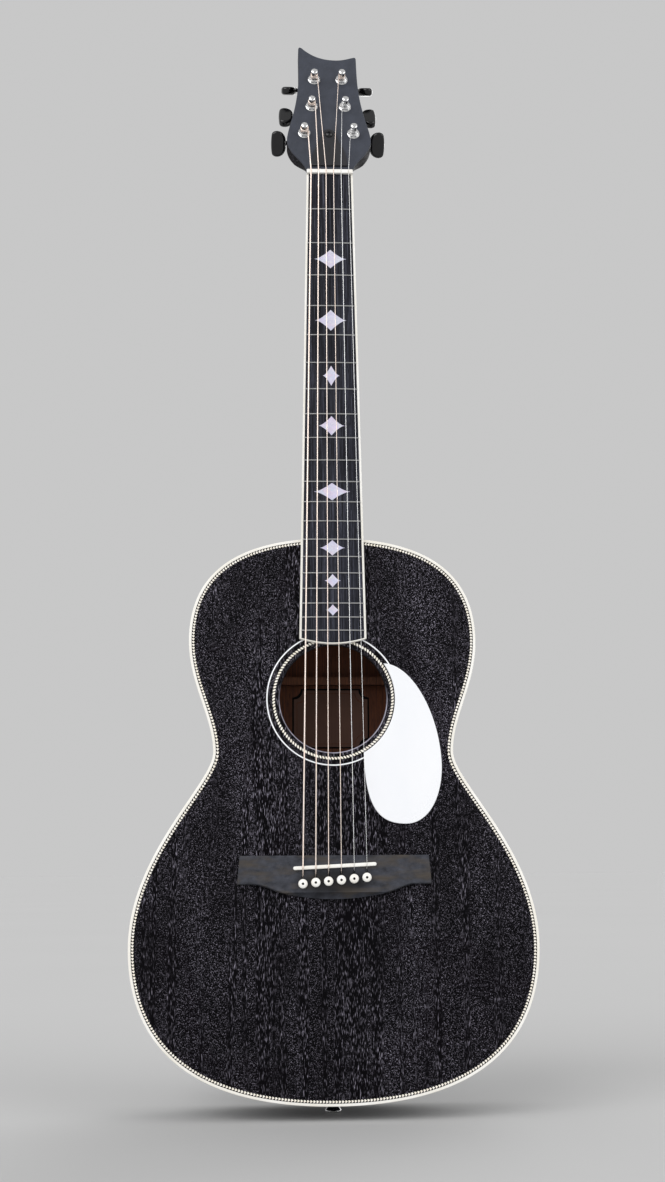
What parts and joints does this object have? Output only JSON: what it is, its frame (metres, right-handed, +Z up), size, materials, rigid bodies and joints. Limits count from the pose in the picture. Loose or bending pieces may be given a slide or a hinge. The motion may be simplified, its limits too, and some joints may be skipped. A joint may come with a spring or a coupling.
{
  "type": "acoustic guitar",
  "caption": "Flat-top steel-string guitar: waisted soundbox with round soundhole, pinned bridge, fretted neck and angled headstock with geared tuners.",
  "frame": {"origin": "centre of the strap pin's end face, the lowest point of the guitar", "axes": "+Z up the neck, -Y out of the soundboard, +X towards the treble side"},
  "size_m": [0.3508, 0.119, 0.9928],
  "materials": {
    "black_top": "satin, open pore",
    "black_wood": "satin",
    "mahogany": "raw",
    "spruce": "raw",
    "ebony": "oiled satin",
    "cream_binding": "satin",
    "herringbone": "inlaid strips",
    "white_plastic": "gloss",
    "bone": "polished",
    "chrome": "polished",
    "steel": "bright",
    "bronze": "bright",
    "black_plastic": "gloss",
    "fret_metal": "polished",
    "pearl": "pearly",
    "label_paper": "matte"
  },
  "bodies": {
    "body": {"soundboard": "black_top", "side_bass": "black_wood", "side_treble": "black_wood", "back": "black_wood", "neck": "black_wood", "top_binding": "cream_binding", "back_binding": "cream_binding", "fingerboard_binding": "cream_binding", "top_purfling": "herringbone", "rosette_inner": "herringbone", "rosette_outer": "white_plastic", "pickguard": "white_plastic", "lining_top": "spruce", "lining_back": "spruce", "x_brace_bass": "spruce", "x_brace_treble": "spruce", "transverse_brace": "spruce", "neck_block": "mahogany", "tail_block": "mahogany", "bridge_plate": "mahogany", "back_brace_upper": "mahogany", "back_brace_lower": "mahogany", "bridge": "ebony", "fingerboard": "ebony", "headstock_veneer": "ebony", "saddle": "bone", "nut": "bone", "strap_pin": "chrome", "truss_rod": "steel", "truss_rod_cover": "black_plastic", "tuner_housing_low_e": "chrome", "string_low_e": "bronze", "tuner_housing_a": "chrome", "string_a": "bronze", "tuner_housing_d": "chrome", "string_d": "bronze", "tuner_housing_g": "chrome", "string_g": "bronze", "tuner_housing_b": "chrome", "string_b": "steel", "tuner_housing_high_e": "chrome", "string_high_e": "steel"},
    "tuner_post_low_e": {"tuner_post_low_e": "chrome"},
    "tuner_button_low_e": {"tuner_button_low_e": "black_plastic"},
    "bridge_pin_low_e": {"bridge_pin_low_e": "bone"},
    "tuner_post_a": {"tuner_post_a": "chrome"},
    "tuner_button_a": {"tuner_button_a": "black_plastic"},
    "bridge_pin_a": {"bridge_pin_a": "bone"},
    "tuner_post_d": {"tuner_post_d": "chrome"},
    "tuner_button_d": {"tuner_button_d": "black_plastic"},
    "bridge_pin_d": {"bridge_pin_d": "bone"},
    "tuner_post_g": {"tuner_post_g": "chrome"},
    "tuner_button_g": {"tuner_button_g": "black_plastic"},
    "bridge_pin_g": {"bridge_pin_g": "bone"},
    "tuner_post_b": {"tuner_post_b": "chrome"},
    "tuner_button_b": {"tuner_button_b": "black_plastic"},
    "bridge_pin_b": {"bridge_pin_b": "bone"},
    "tuner_post_high_e": {"tuner_post_high_e": "chrome"},
    "tuner_button_high_e": {"tuner_button_high_e": "black_plastic"},
    "bridge_pin_high_e": {"bridge_pin_high_e": "bone"}
  },
  "joints": [
    {"name": "tuner_button_low_e_turn", "type": "hinge", "parent": "body", "child": "tuner_button_low_e", "pos_m": [-0.0232, -0.02242, 0.89233], "axis": [-1, 0, 0], "continuous": true},
    {"name": "tuner_post_low_e_turn", "type": "hinge", "parent": "body", "child": "tuner_post_low_e", "pos_m": [-0.0232, -0.04637, 0.8917], "axis": [0, -0.9744, 0.225], "continuous": true},
    {"name": "tuner_button_a_turn", "type": "hinge", "parent": "body", "child": "tuner_button_a", "pos_m": [-0.0158, -0.01524, 0.92341], "axis": [-1, 0, 0], "continuous": true},
    {"name": "tuner_post_a_turn", "type": "hinge", "parent": "body", "child": "tuner_post_a", "pos_m": [-0.0158, -0.0392, 0.92278], "axis": [0, -0.9744, 0.225], "continuous": true},
    {"name": "tuner_button_d_turn", "type": "hinge", "parent": "body", "child": "tuner_button_d", "pos_m": [-0.0132, -0.00791, 0.95518], "axis": [-1, 0, 0], "continuous": true},
    {"name": "tuner_post_d_turn", "type": "hinge", "parent": "body", "child": "tuner_post_d", "pos_m": [-0.0132, -0.03186, 0.95455], "axis": [0, -0.9744, 0.225], "continuous": true},
    {"name": "tuner_button_g_turn", "type": "hinge", "parent": "body", "child": "tuner_button_g", "pos_m": [0.0132, -0.00791, 0.95518], "axis": [1, 0, 0], "continuous": true},
    {"name": "tuner_post_g_turn", "type": "hinge", "parent": "body", "child": "tuner_post_g", "pos_m": [0.0132, -0.03186, 0.95455], "axis": [0, -0.9744, 0.225], "continuous": true},
    {"name": "tuner_button_b_turn", "type": "hinge", "parent": "body", "child": "tuner_button_b", "pos_m": [0.0158, -0.01524, 0.92341], "axis": [1, 0, 0], "continuous": true},
    {"name": "tuner_post_b_turn", "type": "hinge", "parent": "body", "child": "tuner_post_b", "pos_m": [0.0158, -0.0392, 0.92278], "axis": [0, -0.9744, 0.225], "continuous": true},
    {"name": "tuner_button_high_e_turn", "type": "hinge", "parent": "body", "child": "tuner_button_high_e", "pos_m": [0.0232, -0.02242, 0.89233], "axis": [1, 0, 0], "continuous": true},
    {"name": "tuner_post_high_e_turn", "type": "hinge", "parent": "body", "child": "tuner_post_high_e", "pos_m": [0.0232, -0.04637, 0.8917], "axis": [0, -0.9744, 0.225], "continuous": true},
    {"name": "bridge_pin_low_e_pull", "type": "slide", "parent": "body", "child": "bridge_pin_low_e", "axis": [0, -1, 0], "range_m": [0, 0.03]},
    {"name": "bridge_pin_a_pull", "type": "slide", "parent": "body", "child": "bridge_pin_a", "axis": [0, -1, 0], "range_m": [0, 0.03]},
    {"name": "bridge_pin_d_pull", "type": "slide", "parent": "body", "child": "bridge_pin_d", "axis": [0, -1, 0], "range_m": [0, 0.03]},
    {"name": "bridge_pin_g_pull", "type": "slide", "parent": "body", "child": "bridge_pin_g", "axis": [0, -1, 0], "range_m": [0, 0.03]},
    {"name": "bridge_pin_b_pull", "type": "slide", "parent": "body", "child": "bridge_pin_b", "axis": [0, -1, 0], "range_m": [0, 0.03]},
    {"name": "bridge_pin_high_e_pull", "type": "slide", "parent": "body", "child": "bridge_pin_high_e", "axis": [0, -1, 0], "range_m": [0, 0.03]}
  ],
  "couplings": [
    {"joint": "tuner_post_low_e_turn", "follows": "tuner_button_low_e_turn", "ratio": 0.071429},
    {"joint": "tuner_post_a_turn", "follows": "tuner_button_a_turn", "ratio": 0.071429},
    {"joint": "tuner_post_d_turn", "follows": "tuner_button_d_turn", "ratio": 0.071429},
    {"joint": "tuner_post_g_turn", "follows": "tuner_button_g_turn", "ratio": -0.071429},
    {"joint": "tuner_post_b_turn", "follows": "tuner_button_b_turn", "ratio": -0.071429},
    {"joint": "tuner_post_high_e_turn", "follows": "tuner_button_high_e_turn", "ratio": -0.071429}
  ]
}
